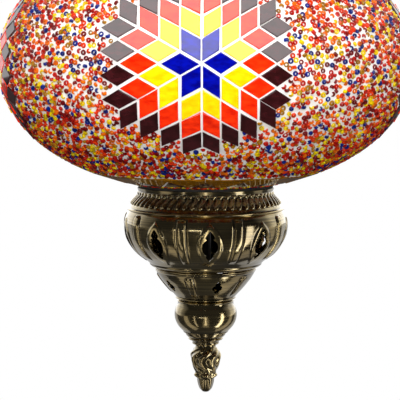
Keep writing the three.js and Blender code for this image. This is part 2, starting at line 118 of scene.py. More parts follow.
# Unit bead: its ring's middle radius, its wall's half width and half height, and how deep a bead
# on edge sinks
BEAD_RING, BEAD_WALL, BEAD_HALF_HEIGHT, BEAD_ON_EDGE = 0.335, 0.165, 0.31, 0.44

# Brass, in the millimetres of its outlines
BRASS_WALL = 1.2
FLOOR_HOLE_RADIUS = 5.4
HOLE_CUTTER_REACH = 80

# Rings of the lamp loop and of the canopy loop
RING_WIRE_RADIUS = 3 * MM
RING_BEND_RADIUS = 11 * MM

# Camera: distance in front of the lamp's axis, at the equator's height, lens, and turn in degrees
CAMERA_DISTANCE = 1.057
CAMERA_LENS = 130.5
CAMERA_DOWN, CAMERA_LEFT = 5.38, 0.227


# ---- mesh helpers ----

def mesh_of_quads(name, vertices, quads):
    mesh = bpy.data.meshes.new(name)
    mesh.vertices.add(len(vertices))
    mesh.vertices.foreach_set("co", np.asarray(vertices, np.float32).ravel())
    mesh.loops.add(quads.size)
    mesh.loops.foreach_set("vertex_index", quads.astype(np.int32).ravel())
    mesh.polygons.add(len(quads))
    mesh.polygons.foreach_set("loop_start", np.arange(0, quads.size, 4, dtype=np.int32))
    mesh.update(calc_edges=True)
    return mesh


def grid_quads(rows, columns):
    """Quads of a grid whose rows and columns both close on themselves."""
    row = np.arange(rows)[:, None]
    column = np.arange(columns)[None, :]
    after_row, after_column = (row + 1) % rows, (column + 1) % columns
    corners = [row * columns + column, row * columns + after_column,
               after_row * columns + after_column, after_row * columns + column]
    return np.stack(np.broadcast_arrays(*corners), -1).reshape(-1, 4)


def tidy_mesh(mesh, sharp_degrees=None):
    """Joins doubled corners, turns every face outwards and sets the shading."""
    work = bmesh.new()
    work.from_mesh(mesh)
    bmesh.ops.remove_doubles(work, verts=work.verts, dist=1e-6)
    bmesh.ops.recalc_face_normals(work, faces=work.faces)
    work.to_mesh(mesh)
    work.free()
    mesh.shade_smooth()
    if sharp_degrees is not None:
        mesh.set_sharp_from_angle(angle=math.radians(sharp_degrees))


def added(name, data):
    """A new object in the scene."""
    made = bpy.data.objects.new(name, data)
    bpy.context.scene.collection.objects.link(made)
    return made


# Pieces that share their reflected softboxes, and the group of each slot that isn't in "tiles"
GROUPS = {name: bpy.data.collections.new(f"lit_{name}") for name in ("tiles", "beads", "metal")}
GROUP_OF_SLOT = {"brass": "metal", "beads": "beads"}


def piece(name, mesh, materials, body, slot, replaced):
    """Puts a visible piece on its body and in the light group of its slot, in place of the nodes it
    replaces.
    """
    for material in materials:
        mesh.materials.append(material)
    made = added(name, mesh)
    GROUPS[GROUP_OF_SLOT.get(slot, "tiles")].objects.link(made)
    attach(made, body)
    for node in replaced:
        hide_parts(node)


def smooth_curve(points, steps):
    """Points along a smooth curve through the given ones, steps to each span (Catmull-Rom)."""
    p = np.array(points, float)
    p = np.vstack([2 * p[0] - p[1], p, 2 * p[-1] - p[-2]])
    spans = []
    for k in range(1, len(p) - 2):
        s = np.arange(steps)[:, None] / steps
        a, b, c, d = p[k - 1], p[k], p[k + 1], p[k + 2]
        spans.append(0.5 * (2 * b + (c - a) * s + (2 * a - 5 * b + 4 * c - d) * s**2
                            + (3 * b - a - 3 * c + d) * s**3))
    return np.vstack([*spans, p[-2:-1]])


def outline_of(stretches, steps):
    """One outline of [radius, height] from smooth stretches that meet at corners. Each one goes on
    from where the last one ended."""
    curves, start = [], []
    for points in stretches:
        curves.append(smooth_curve([*start, *points], steps))
        start = points[-1:]
    return np.vstack(curves)


def inset(outline):
    """The outline moved towards the axis by the brass's wall, at right angles to itself."""
    along = np.gradient(outline, axis=0)
    along /= np.maximum(np.linalg.norm(along, axis=1, keepdims=True), 1e-9)
    inwards = np.stack([-np.abs(along[:, 1]), np.sign(along[:, 1]) * along[:, 0]], 1)
    return outline + BRASS_WALL * inwards


def ring_points(radii, azimuths, heights):
    """Grid of points: radii and heights by row (radii may vary along a row), azimuths by column."""
    radii = np.broadcast_to(radii, (len(heights), len(azimuths)))
    heights = np.broadcast_to(np.asarray(heights)[:, None], radii.shape)
    return np.stack([radii * np.sin(azimuths), -radii * np.cos(azimuths), heights], -1)


def even_azimuths(columns):
    return np.arange(columns) * 2 * math.pi / columns


def turned(name, outline, columns=96, azimuths=None, relief=None, sharp_degrees=40, z=0.0, up=1):
    """Solid turned about Z from a closed outline in millimetres. relief(azimuths, outline) adds to
    the radius, in millimetres, row by row. Heights count from z, up or down."""
    outline = np.asarray(outline, float)
    azimuths = even_azimuths(columns) if azimuths is None else azimuths
    radii = np.repeat(outline[:, :1], len(azimuths), 1)
    if relief is not None:
        radii = radii + relief(azimuths[None, :], outline)
    points = ring_points(radii * MM, azimuths, z + up * outline[:, 1] * MM)
    quads = grid_quads(len(outline), len(azimuths))
    mesh = mesh_of_quads(name, points.reshape(-1, 3), quads)
    tidy_mesh(mesh, sharp_degrees)
    return mesh


def shell_outline(outer, floor_hole=None):
    """Closed outline of a thin shell: the outer side, an optional floor with a centre hole at its
    far end, and back along the inner side, which keeps every third point."""
    inner = inset(outer)[::-3]
    inner[-1, 1] = outer[0, 1]
    if floor_hole is None:
        inner[0, 1] = outer[-1, 1]
        return np.vstack([outer, inner])
    end = outer[-1, 1]
    floor = np.array([[floor_hole, end], [floor_hole, end - BRASS_WALL]])
    inner = inner[inner[:, 1] < end - BRASS_WALL]
    return np.vstack([outer, floor, inner])


def step_between(value, low, high):
    """Smooth step from 0 at low to 1 at high."""
    s = np.clip((value - low) / (high - low), 0, 1)
    return s * s * (3 - 2 * s)


def wrapped(angle, period):
    """The angle brought to within half a period of zero."""
    return (angle + period / 2) % period - period / 2


def cut(mesh, cutter_mesh, overlapping=False):
    """Cuts the cutter out of the mesh, whose own parts may overlap, and gives the new mesh."""
    body = added("cut_body", mesh)
    cutter = added("cut_cutter", cutter_mesh)
    boolean = body.modifiers.new("cut", "BOOLEAN")
    boolean.operation = "DIFFERENCE"
    boolean.solver = "EXACT"
    boolean.use_self = overlapping
    boolean.object = cutter
    bpy.context.view_layer.update()
    evaluated = body.evaluated_get(bpy.context.evaluated_depsgraph_get())
    done = bpy.data.meshes.new_from_object(evaluated)
    done.name = mesh.name
    bpy.data.objects.remove(body)
    bpy.data.objects.remove(cutter)
    done.shade_smooth()
    done.set_sharp_from_angle(angle=math.radians(40))
    return done


# ---- materials ----

def blank_material(name):
    material = bpy.data.materials.new(name)
    material.use_nodes = True
    return material, material.node_tree, material.node_tree.nodes["Principled BSDF"]


def set_inputs(node, **values):
    """Sets a node's own input sockets. An underscore stands for a space in a socket's name."""
    for name, value in values.items():
        node.inputs[name.replace("_", " ")].default_value = value


def noise(tree, scale, stretch, detail):
    """Noise over the object's own coordinates, in metres."""
    place = tree.nodes.new("ShaderNodeTexCoord")
    mapping = tree.nodes.new("ShaderNodeMapping")
    set_inputs(mapping, Scale=stretch)
    texture = tree.nodes.new("ShaderNodeTexNoise")
    set_inputs(texture, Scale=scale, Detail=detail)
    tree.links.new(place.outputs["Object"], mapping.inputs["Vector"])
    tree.links.new(mapping.outputs["Vector"], texture.inputs["Vector"])
    return texture.outputs["Fac"]


def ramp(tree, value, stops):
    """Colour ramp of (position, colour) stops, read at value."""
    node = tree.nodes.new("ShaderNodeValToRGB")
    elements = node.color_ramp.elements
    while len(elements) < len(stops):
        elements.new(0.5)
    for element, (position, colour) in zip(elements, stops):
        element.position = position
        element.color = (*colour, 1)
    tree.links.new(value, node.inputs["Fac"])
    return node.outputs["Color"]


def paint(tree, value, stops, shader, socket):
    """Links a ramp, read at value, to one of the shader's sockets."""
    tree.links.new(ramp(tree, value, stops), shader.inputs[socket])


def grey(value):
    return (value, value, value)


def multiplied(tree, first, second):
    node = tree.nodes.new("ShaderNodeMix")
    node.data_type = "RGBA"
    node.blend_type = "MULTIPLY"
    set_inputs(node, Factor=1.0)
    tree.links.new(first, node.inputs["A"])
    tree.links.new(second, node.inputs["B"])
    return node.outputs["Result"]


def bumped(tree, shader, height, strength, distance):
    bump = tree.nodes.new("ShaderNodeBump")
    set_inputs(bump, Strength=strength, Distance=distance)
    tree.links.new(height, bump.inputs["Height"])
    tree.links.new(bump.outputs["Normal"], shader.inputs["Normal"])


def antique_brass():
    """Lacquered antique brass: brown patina in the hollows, edges lighter partly as rubbed wear and
    partly as a painted highlight, fine streaks round it.
    """
    material, tree, shader = blank_material("antique_brass")
    streaks = noise(tree, 1.0, (14, 14, 1500), 4.0)
    clouds = noise(tree, 26.0, (1, 1, 1.6), 3.0)
    browns = [(0.3, (0.15, 0.115, 0.055)), (0.52, (0.31, 0.245, 0.115)), (0.75, (0.47, 0.38, 0.185))]
    base = ramp(tree, clouds, browns)
    tint = ramp(tree, streaks, [(0.32, grey(0.5)), (0.5, grey(0.95)), (0.68, grey(1.2))])
    colour = multiplied(tree, base, tint)
    geometry = tree.nodes.new("ShaderNodeNewGeometry")
    # Pointiness darkens the hollows with brown patina and lightens the edges, partly as rubbed wear
    # and partly as a painted highlight.
    patina_and_edge_highlight_stops = [(0.45, (0.10, 0.08, 0.06)), (0.493, grey(0.8)), (0.525, (1.5, 1.45, 1.35))]
    patina_and_edge_highlight = ramp(tree, geometry.outputs["Pointiness"], patina_and_edge_highlight_stops)
    tree.links.new(multiplied(tree, colour, patina_and_edge_highlight), shader.inputs["Base Color"])
    paint(tree, streaks, [(0.3, grey(0.09)), (0.7, grey(0.19))], shader, "Roughness")
    set_inputs(shader, Metallic=1.0, Coat_Weight=0.9, Coat_Roughness=0.07)
    bumped(tree, shader, streaks, 0.12, 0.0002)
    return material


def zinc_steel():
    material, tree, shader = blank_material("zinc_steel")
    clouds = noise(tree, 120.0, (1, 1, 1), 4.0)
    colours = [(0.3, (0.22, 0.22, 0.21)), (0.7, (0.42, 0.42, 0.40))]
    paint(tree, clouds, colours, shader, "Base Color")
    paint(tree, clouds, [(0.3, grey(0.32)), (0.7, grey(0.48))], shader, "Roughness")
    set_inputs(shader, Metallic=1.0)
    return material


def clear_glass():
    material, tree, shader = blank_material("globe_glass")
    waves = noise(tree, 30.0, (1, 1, 1), 2.0)
    colours = [(0.3, (0.80, 0.88, 0.85)), (0.7, (0.90, 0.95, 0.93))]
    paint(tree, waves, colours, shader, "Base Color")
    set_inputs(shader, Roughness=0.05, Transmission_Weight=0.9, IOR=1.5)
    bumped(tree, shader, waves, 0.1, 0.001)
    return material


def white_plaster():
    """White grout, a little gritty, with a faint amber cast in soft clouds."""
    material, tree, shader = blank_material("white_plaster")
    clouds = noise(tree, 90.0, (1, 1, 1), 5.0)
    grit = noise(tree, 2200.0, (1, 1, 1), 3.0)
    colours = [(0.3, (0.80, 0.77, 0.72)), (0.6, (0.90, 0.89, 0.87))]
    paint(tree, clouds, colours, shader, "Base Color")
    paint(tree, grit, [(0.3, grey(0.55)), (0.7, grey(0.8))], shader, "Roughness")
    bumped(tree, shader, grit, 0.35, 0.0003)
    return material


def bead_glass(name, colour):
    """One dye lot of seed beads: clear-bodied coloured glass, deeper in some beads than others."""
    material, tree, shader = blank_material(f"bead_{name}")
    depth = noise(tree, 300.0, (1, 1, 1), 2.0)
    deep = tuple(0.5 * channel for channel in colour)
    pale = tuple(min(1.12 * channel + 0.004, 1) for channel in colour)
    paint(tree, depth, [(0.36, deep), (0.5, colour), (0.62, pale)], shader, "Base Color")
    set_inputs(shader, Roughness=0.07, IOR=1.5, Specular_IOR_Level=0.5, Transmission_Weight=0.35)
    return material


def tile_glass(name, dark, light):
    """Sheet glass with soft clouds of colour."""
    material, tree, shader = blank_material(f"tile_{name}")
    clouds = noise(tree, 140.0, (1, 1, 2.2), 4.0)
    paint(tree, clouds, [(0.34, dark), (0.66, light)], shader, "Base Color")
    set_inputs(shader, Roughness=0.03, IOR=1.55)
    return material


def soft_plain(name, dark, light, roughness):
    """Moulded or fired plain material with a fine mottle in colour, gloss and surface."""
    material, tree, shader = blank_material(name)
    mottle = noise(tree, 300.0, (1, 1, 1), 4.0)
    low, high = roughness
    paint(tree, mottle, [(0.3, dark), (0.7, light)], shader, "Base Color")
    paint(tree, mottle, [(0.3, grey(low)), (0.7, grey(high))], shader, "Roughness")
    bumped(tree, shader, mottle, 0.15, 0.0002)
    return material


BRASS = antique_brass()
STEEL = zinc_steel()
PLASTER = white_plaster()

# Colour of each bead shade, and its share of the beads
BEAD_SHADES = {
    "red": ((0.56, 0.008, 0.001), 0.19),
    "vermilion": ((0.85, 0.045, 0.001), 0.17),
    "dark_red": ((0.22, 0.002, 0.002), 0.16),
    "orange": ((1.0, 0.19, 0.001), 0.18),
    "yellow": ((1.0, 0.70, 0.001), 0.16),
    "amber": ((0.50, 0.22, 0.001), 0.07),
    "blue": ((0.001, 0.018, 0.25), 0.10),
}

# Glass of a medallion's rows of tiles, from its middle outwards
TILE_ROW_GLASS = [
    tile_glass("blue", (0.0, 0.0, 0.16), (0.0, 0.003, 0.36)),
    tile_glass("yellow", (0.86, 0.50, 0.0), (1.0, 0.72, 0.002)),
    tile_glass("red", (0.70, 0.010, 0.0), (1.0, 0.038, 0.002)),
    tile_glass("maroon", (0.016, 0.002, 0.002), (0.048, 0.006, 0.008)),
]
AMBER_GLASS = tile_glass("amber", (0.15, 0.055, 0.001), (0.34, 0.14, 0.004))


# ---- the globe's surface ----

PROFILE_SAMPLES = 4001
POLE_GAP = 1e-4
SLOPES = np.linspace(-math.pi / 2 + POLE_GAP, math.pi / 2 - POLE_GAP, PROFILE_SAMPLES)


def profile_at(slope):
    """Radius and height above the equator of the globe's outer surface at a slope parameter."""
    bend = 2 / GLOBE_POWER
    radius = GLOBE_RADIUS * np.cos(slope) ** bend
    height = GLOBE_HALF_HEIGHT * np.sign(slope) * np.abs(np.sin(slope)) ** bend
    return radius, height


PROFILE_RADII, PROFILE_HEIGHTS = profile_at(SLOPES)
STEPS = np.hypot(np.diff(PROFILE_RADII), np.diff(PROFILE_HEIGHTS))
ARCS = np.concatenate([[0], np.cumsum(STEPS)])
ARCS = ARCS - ARCS[-1] / 2


def arc_at_radius(radius):
    """Length along the surface from the equator to where it has this radius."""
    half = len(ARCS) // 2
    return float(np.interp(-radius, -PROFILE_RADII[half:], ARCS[half:]))


FIELD_ARC = arc_at_radius(FIELD_EDGE_RADIUS)
MOSAIC_ARC = arc_at_radius(MOSAIC_EDGE_RADIUS)
MOUTH_ARC = arc_at_radius(GLASS_MOUTH_RADIUS)


def globe_frame(azimuth, arc):
    """Point, east, north and outward normal of the globe's surface at each azimuth and arc."""
    azimuth, arc = np.broadcast_arrays(np.asarray(azimuth, float), np.asarray(arc, float))
    radius = np.interp(arc, ARCS, PROFILE_RADII)
    height = np.interp(arc, ARCS, PROFILE_HEIGHTS)
    nudge = 0.2 * MM
    above, below = arc + nudge, arc - nudge
    out = np.interp(above, ARCS, PROFILE_RADII) - np.interp(below, ARCS, PROFILE_RADII)
    rise = np.interp(above, ARCS, PROFILE_HEIGHTS) - np.interp(below, ARCS, PROFILE_HEIGHTS)
    size = np.hypot(out, rise)
    out, rise = out / size, rise / size
    sine, cosine = np.sin(azimuth), np.cos(azimuth)
    point = np.stack([radius * sine, -radius * cosine, EQUATOR_Z + height], -1)
    east = np.stack([cosine, sine, np.zeros_like(sine)], -1)
    north = np.stack([out * sine, -out * cosine, rise], -1)
    return point, east, north, np.cross(east, north)


def medallion_place(azimuth, arc, middle_azimuth):
    """Where a spot lies along the two sides of its sector's rhombi, in tile pitches."""
    radius = np.interp(arc, ARCS, PROFILE_RADII)
    across = wrapped(azimuth - middle_azimuth, 2 * math.pi) * radius
    across = across / np.where(across < 0, LAID_LEFT, LAID_RIGHT) / TILE_PITCH
    along = arc / TILE_PITCH
    sector = np.round(np.arctan2(along, across) / (math.pi / 3)) * math.pi / 3
    x = across * np.cos(sector) + along * np.sin(sector)
    y = along * np.cos(sector) - across * np.sin(sector)
    both, apart = x / math.cos(math.pi / 6), y / math.sin(math.pi / 6)
    return (both + apart) / 2, (both - apart) / 2


def tiled(azimuth, arc, margin):
    """True where a spot lies on a medallion's tiles, or within margin of a pitch from them."""
    on_tile = np.zeros(np.shape(azimuth), bool)
    for degrees in MEDALLION_AZIMUTHS.values():
        a, b = medallion_place(azimuth, arc, math.radians(degrees))
        row = np.floor(np.maximum(a - margin, 0)) + np.floor(np.maximum(b - margin, 0))
        on_tile |= row < TILE_ROWS
    return on_tile


def globe_shell(name, end_arc, depths, columns, rows):
    """Closed shell over the globe between two depths. The outer depth may be a function of azimuth
    and arc, and the inner side keeps every fourth row."""
    azimuths = even_azimuths(columns)
    arcs = np.linspace(-end_arc, end_arc, rows)
    point, _, _, normal = globe_frame(azimuths[None, :], arcs[:, None])
    outer_depth, inner_depth = depths
    if callable(outer_depth):
        outer_depth = outer_depth(azimuths[None, :], arcs[:, None])[..., None]
    outer = point - normal * outer_depth
    inner = (point - normal * inner_depth)[::-4]
    points = np.concatenate([outer, inner])
    mesh = mesh_of_quads(name, points.reshape(-1, 3), grid_quads(len(points), columns))
    tidy_mesh(mesh)
    return mesh


# ---- mosaic ----

def ground_depth(azimuth, arc):
    """The grout stands higher between tiles than between beads, with a soft uneven surface."""
    azimuth, arc = np.broadcast_arrays(azimuth, arc)
    high = np.zeros(azimuth.shape)
    for degrees in MEDALLION_AZIMUTHS.values():
        a, b = medallion_place(azimuth, arc, math.radians(degrees))
        high = np.maximum(high, 1 - step_between(a + b, TILE_ROWS - 0.1, TILE_ROWS + 0.5))
    high = np.maximum(high, step_between(np.abs(arc), FIELD_ARC, FIELD_ARC + 2 * MM))
    uneven = (GROUND_UNEVENNESS * np.sin(azimuth * 61 + arc * 900)
              * np.sin(arc * 1300 - azimuth * 37))
    return GROUND_DEPTH + (TILED_GROUND_DEPTH - GROUND_DEPTH) * high + uneven


def white_ground():
    mesh = globe_shell("mosaic_ground", MOSAIC_ARC, (ground_depth, GROUND_BACK_DEPTH),
                       columns=400, rows=190)
    piece("mosaic_ground", mesh, [PLASTER], "lamp", "beads", ["bead_field"])


def smooth_glass():
    mesh = globe_shell("globe_glass", MOUTH_ARC, (GLASS_DEPTH, GLASS_DEPTH + GLASS_THICKNESS),
                       columns=128, rows=65)
    piece("globe_glass", mesh, [clear_glass()], "lamp", "globe_glass", ["glass_globe"])


def flat_tile(corners, middle, normal):
    """Vertices and faces of one flat glass plate: corners dropped onto the plane through middle."""
    thickness = 1.9 * MM
    chamfer = 0.3 * MM
    chamfer_run = 1.5
    corners = np.array([c - normal * np.dot(c - middle, normal) for c in corners])
    inwards = middle - corners
    inwards /= np.linalg.norm(inwards, axis=1, keepdims=True)
    face = corners + inwards * chamfer * chamfer_run
    rim = corners - normal * chamfer
    back = corners - normal * thickness
    n = len(corners)
    faces = [list(range(n)), [2 * n + k for k in reversed(range(n))]]
    for k in range(n):
        after = (k + 1) % n
        faces.append([k, n + k, n + after, after])
        faces.append([n + k, 2 * n + k, 2 * n + after, n + after])
    return np.vstack([face, rim, back]), faces


def tile_on_globe(spots, loose):
    """One tile over globe spots (azimuth, arc): sunk a little, tilted and shifted as if by hand."""
    spots = np.array(spots)
    middle_spot = spots.mean(0)
    middle, east, north, normal = globe_frame(*middle_spot)
    corners = globe_frame(spots[:, 0], spots[:, 1])[0]
    slide = east * dice.normal(0, loose) + north * dice.normal(0, loose)
    ragged = loose / 2.5
    corners = corners + slide + dice.normal(0, ragged, (len(corners), 1)) * north
    tilt = np.radians(dice.normal(0, TILE_TILT, 2))
    facing = normal + east * tilt[0] + north * tilt[1]
    facing /= np.linalg.norm(facing)
    return flat_tile(corners, middle + slide - normal * TILE_SINK, facing)


def rhombus_spots(sector, i, j, middle_azimuth):
    """The four corners of one rhombus of a sector, as (azimuth, arc)."""
    spots = []
    for a, b in ((0, 0), (1, 0), (1, 1), (0, 1)):
        a = i + 0.5 + (a - 0.5) * TILE_SHARE
        b = j + 0.5 + (b - 0.5) * TILE_SHARE
        x, y = (a + b) * math.cos(math.pi / 6), (a - b) * math.sin(math.pi / 6)
        turn = sector * math.pi / 3
        across = (x * math.cos(turn) - y * math.sin(turn)) * TILE_PITCH
        along = (x * math.sin(turn) + y * math.cos(turn)) * TILE_PITCH
        across *= LAID_LEFT if across < 0 else LAID_RIGHT
        radius = float(np.interp(along, ARCS, PROFILE_RADII))
        spots.append((middle_azimuth + across / radius, along))
    return spots


def tiles_piece(name, tiles, materials, slot, replaced):
    """Joins (vertices, faces, material index) plates into one piece."""
    vertices, faces, colours = [], [], []
    for plate_vertices, plate_faces, index in tiles:
        start = len(vertices)
        vertices.extend(map(tuple, plate_vertices))
        faces.extend([start + corner for corner in face] for face in plate_faces)
        colours.extend([index] * len(plate_faces))
    mesh = bpy.data.meshes.new(name)
    mesh.from_pydata(vertices, [], faces)
    mesh.polygons.foreach_set("material_index", colours)
    piece(name, mesh, materials, "lamp", slot, replaced)
    work = bmesh.new()
    work.from_mesh(mesh)
    bmesh.ops.recalc_face_normals(work, faces=work.faces)
    work.to_mesh(mesh)
    work.free()


def medallion(side, degrees):
    """Six-pointed field of rhombic tiles: six sectors of rows that turn colour outwards."""
    tiles = []
    for sector in range(6):
        for i in range(TILE_ROWS):
            for j in range(TILE_ROWS - i):
                spots = rhombus_spots(sector, i, j, math.radians(degrees))
                tiles.append((*tile_on_globe(spots, TILE_LOOSENESS), i + j))
    tiles_piece(f"tiles_{side}", tiles, TILE_ROW_GLASS, "tiles", [f"medallion_{side}"])


def collar_band(end, up):
    """Ring of amber tiles, each pointed towards the neck, with maroon triangles between them."""
    count = 18
    outer = arc_at_radius(FIELD_EDGE_RADIUS - 1 * MM)
    shoulder = arc_at_radius(ZIGZAG_OUTER_RADIUS)
    inner = arc_at_radius(ZIGZAG_INNER_RADIUS)
    tip = inner - 1 * MM
    peak = shoulder + 1.2 * MM
    base = inner + 0.6 * MM
    wide, narrow = 0.992, 0.985
    base_start, base_end = 0.12, 1.88
    tiles = []
    for k in range(count):
        middle = 2 * math.pi * (k + 0.5) / count
        half = math.pi / count
        amber = [(middle - half * wide, outer), (middle + half * wide, outer),
                 (middle + half * narrow, shoulder), (middle, tip),
                 (middle - half * narrow, shoulder)]
        maroon = [(middle + half, peak), (middle + half * base_end, base),
                  (middle + half * base_start, base)]
        for spots, index in ((amber, 0), (maroon, 1)):
            spots = [(azimuth, up * arc) for azimuth, arc in spots]
            tiles.append((*tile_on_globe(spots, COLLAR_LOOSENESS), index))
    materials = [AMBER_GLASS, TILE_ROW_GLASS[-1]]
    tiles_piece(f"collar_tiles_{end}", tiles, materials, "amber_tiles", [f"collar_band_{end}"])


def scattered_spots():
    """Random spots on the bead field and at the neck, none nearer to another than the spacing."""
    area = np.concatenate([[0], np.cumsum(STEPS * (PROFILE_RADII[1:] + PROFILE_RADII[:-1]) / 2)])
    azimuths = dice.uniform(-math.pi, math.pi, BEAD_TRIES)
    arcs = np.interp(dice.uniform(0, area[-1], BEAD_TRIES), area, ARCS)
    neck_arc = arc_at_radius(ZIGZAG_INNER_RADIUS) + BEAD_NECK_MARGIN
    neck = (np.abs(arcs) > neck_arc) & (np.abs(arcs) < MOSAIC_ARC)
    field = np.abs(arcs) < FIELD_ARC - BEAD_BAND_MARGIN
    keep = field & ~tiled(azimuths, arcs, BEAD_TILE_MARGIN) | neck
    azimuths, arcs = azimuths[keep], arcs[keep]
    points = globe_frame(azimuths, arcs)[0]
    cells = np.floor(points / BEAD_SPACING).astype(int)
    taken, kept = {}, []
    around = [(x, y, z) for x in (-1, 0, 1) for y in (-1, 0, 1) for z in (-1, 0, 1)]
    limit = BEAD_SPACING**2
    plain = points.tolist()
    for k, (cx, cy, cz) in enumerate(cells.tolist()):
        px, py, pz = plain[k]
        near = (taken.get((cx + x, cy + y, cz + z)) for x, y, z in around)
        if any(other and (px - other[0])**2 + (py - other[1])**2 + (pz - other[2])**2 < limit
               for other in near):
            continue
        taken[(cx, cy, cz)] = plain[k]
        kept.append(k)
    return azimuths[kept], arcs[kept]


def bead_template():
    """Unit seed bead about Z: a fat ring with a hole, as vertices and quads."""
    around, section = 9, 5
    turn = np.arange(around) * 2 * math.pi / around
    roll = np.arange(section) * 2 * math.pi / section
    radius = BEAD_RING + BEAD_WALL * np.cos(roll)
    points = np.stack([np.outer(radius, np.cos(turn)), np.outer(radius, np.sin(turn)),
                       np.outer(BEAD_HALF_HEIGHT * np.sin(roll), np.ones(around))], -1)
    return points.reshape(-1, 3), grid_quads(section, around)


def bead_field():
    """Seed beads sunk to the mosaic's surface: some lie flat, the others stand nearly on edge. Each
    shade is split into four quarters round the globe."""
    azimuths, arcs = scattered_spots()
    count = len(azimuths)
    point, east, north, normal = globe_frame(azimuths, arcs)
    flat_share, flat_lean = 0.45, 0.24
    least_lean, most_lean = 1.05, 1.5
    lean = np.where(dice.random(count) < flat_share, np.abs(dice.normal(0, flat_lean, count)),
                    dice.uniform(least_lean, most_lean, count))[:, None]
    way = dice.uniform(0, 2 * math.pi, count)[:, None]
    level = east * np.cos(way) + north * np.sin(way)
    axis = normal * np.cos(lean) + level * np.sin(lean)
    first = np.cross(axis, east * np.sin(way) - north * np.cos(way))
    first /= np.linalg.norm(first, axis=1, keepdims=True)
    second = np.cross(axis, first)
    size = np.clip(dice.normal(BEAD_SIZE, BEAD_SIZE_SCATTER, count), *BEAD_SIZE_LIMITS)[:, None]
    depth = size * (BEAD_HALF_HEIGHT * np.cos(lean) + BEAD_ON_EDGE * np.sin(lean))
    middle = point - normal * depth
    unit, quads = bead_template()
    basis = np.stack([first, second, axis], 1) * size[:, :, None]
    vertices = np.einsum("vk,nkc->nvc", unit, basis) + middle[:, None, :]
    names = list(BEAD_SHADES)
    shares = np.array([BEAD_SHADES[name][1] for name in names])
    shade = dice.choice(len(names), count, p=shares / shares.sum())
    quarter = np.floor((azimuths + math.pi) / (math.pi / 2)).astype(int) % 4
    for index, name in enumerate(names):
        glass = bead_glass(name, BEAD_SHADES[name][0])
        for part in range(4):
            chosen = vertices[(shade == index) & (quarter == part)]
            starts = len(unit) * np.arange(len(chosen))[:, None, None]
            title = f"beads_{name}_{part + 1}"
            mesh = mesh_of_quads(title, chosen.reshape(-1, 3), (quads[None] + starts).reshape(-1, 4))
            mesh.shade_smooth()
            piece(title, mesh, [glass], "lamp", "beads", ["bead_field"])


# ---- brass stack: [radius, distance from the equator], in millimetres ----

def brass_piece(node, mesh, body="lamp"):
    piece(f"brass_{node}", mesh, [BRASS], body, "brass", [node])


def fine_columns(sectors, first_degrees, edge_degrees):
    """Azimuths for a relief that repeats: close together at the ribs' edges, wider between."""
    half = 180 / sectors
    on_rib = np.linspace(0, edge_degrees - 0.8, 4)
    at_edge = np.linspace(edge_degrees - 0.5, edge_degrees + 0.5, 6)
    beyond = np.linspace(edge_degrees + 0.9, half, 26)
    near = np.concatenate([on_rib, at_edge, beyond])
    sector = np.concatenate([-near[:0:-1], near[:-1]])
    degrees = np.concatenate([first_degrees + 360 * k / sectors + sector for k in range(sectors)])
    return np.radians(degrees)


def gallery_relief(azimuths, outline):
    """Sixty leaning teeth round the flare: wide and rounded above, narrow below."""
    count, top, foot = 60, 92.4, 102.2
    rise, sink = 1.4, 0.45
    head_width, foot_width = 0.43, 0.1
    height = outline[:, 1:2]
    down = np.clip((height - top) / (foot - top), 0, 1)
    lean = 0.75 * down + 0.1 * np.sin(down * math.pi)
    across = wrapped(azimuths * count / (2 * math.pi) + lean, 1.0)
    width = head_width * np.sqrt(np.clip(1 - down, 0, 1)) + foot_width
    tooth = np.clip(1 - (across / width) ** 2, 0, 1) ** 0.5
    ends = step_between(height, top - 0.5, top + 0.9) * (1 - step_between(height, foot - 1.6, foot))
    outside = np.arange(len(outline))[:, None] < np.argmax(outline[:, 1]) + 1
    return (rise * tooth - sink) * ends * outside


def brass_gallery(end, up):
    """Neck ring with its toothed flare, and the collar inside that holds the glass's mouth."""
    outer = outline_of([
        [(50.2, 89.7), (49.9, 90.6), (49.3, 92.6), (49.3, 94.6), (50.5, 96.2), (52.4, 98.3),
         (54.1, 100.5), (55.2, 102.6), (55.9, 104.2)],
        [(57.2, 104.6), (57.6, 105.4), (57.0, 106.2)],
    ], 5)
    outline = shell_outline(outer)
    collar = [[48.6, 91], [38.3, 91], [38.3, 82.2], [39.4, 82.2], [39.4, 89.75]]
    outline = np.vstack([outline[:-1], collar])
    mesh = turned(f"{end}_gallery", outline, columns=720, relief=gallery_relief, z=EQUATOR_Z, up=up,
                  sharp_degrees=50)
    brass_piece(f"{end}_gallery", mesh)


# Pierced stampings: how many holes, the azimuth of the first, the holes' size and the height of
# their middles, half the width of a rib in degrees, half the size of the raised oval round a hole,
# and the heights between which the ribs run
BOWL = {"holes": 9, "first": 3.0, "width": 11.6, "height": 22.6, "middle": 127.0, "rib": 2.85,
        "rim": (8.4, 15.6), "span": (107.6, 141.0)}
CUP = {"holes": 5, "first": 16.0, "width": 7.8, "height": 9.4, "middle": 160.3, "rib": 4.2,
       "rim": (0.1, 0.1), "span": (152.4, 168.5)}


